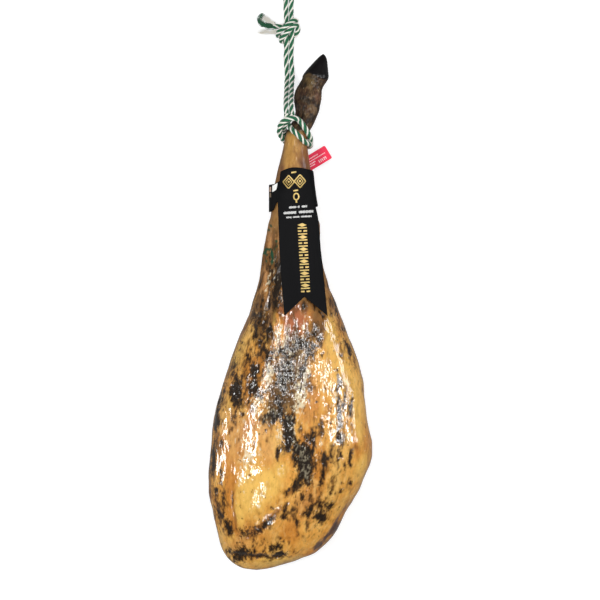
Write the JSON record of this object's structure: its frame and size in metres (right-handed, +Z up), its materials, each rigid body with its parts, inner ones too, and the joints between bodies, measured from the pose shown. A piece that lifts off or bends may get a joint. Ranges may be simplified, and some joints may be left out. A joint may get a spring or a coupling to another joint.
{
  "type": "cured ham",
  "caption": "Whole bone-in cured ham with its hoof, lying on its flat underside, with a twisted cord hitched round the shank, a wrapped card label and a seal tag.",
  "frame": {"origin": "on the table, under the middle of the ham's own box (the free cord is not counted)", "axes": "+Y along the leg towards the hoof, +Z up out of the table, +X towards the side where the seal tag's flag shows"},
  "size_m": [0.2544, 0.9789, 0.1181],
  "materials": {
    "cured_skin": "oily, glossy over a wrinkled surface, golden fat with dark cured patches, tan shank and black hoof",
    "label_card": "satin black print with plain gold and white ornaments",
    "sticker_paper": "satin white",
    "tag_plastic": "satin red with plain white bars",
    "cord_fibre": "matt twisted fibre, green and white strands"
  },
  "bodies": {
    "root": {"ham": "cured_skin", "label_sleeve": "label_card", "label_sticker": "sticker_paper", "seal_tag": "tag_plastic", "rope_hitch": "cord_fibre", "hanging_rope": "cord_fibre", "rope_knot": "cord_fibre", "rope_tail": "cord_fibre"}
  },
  "joints": []
}
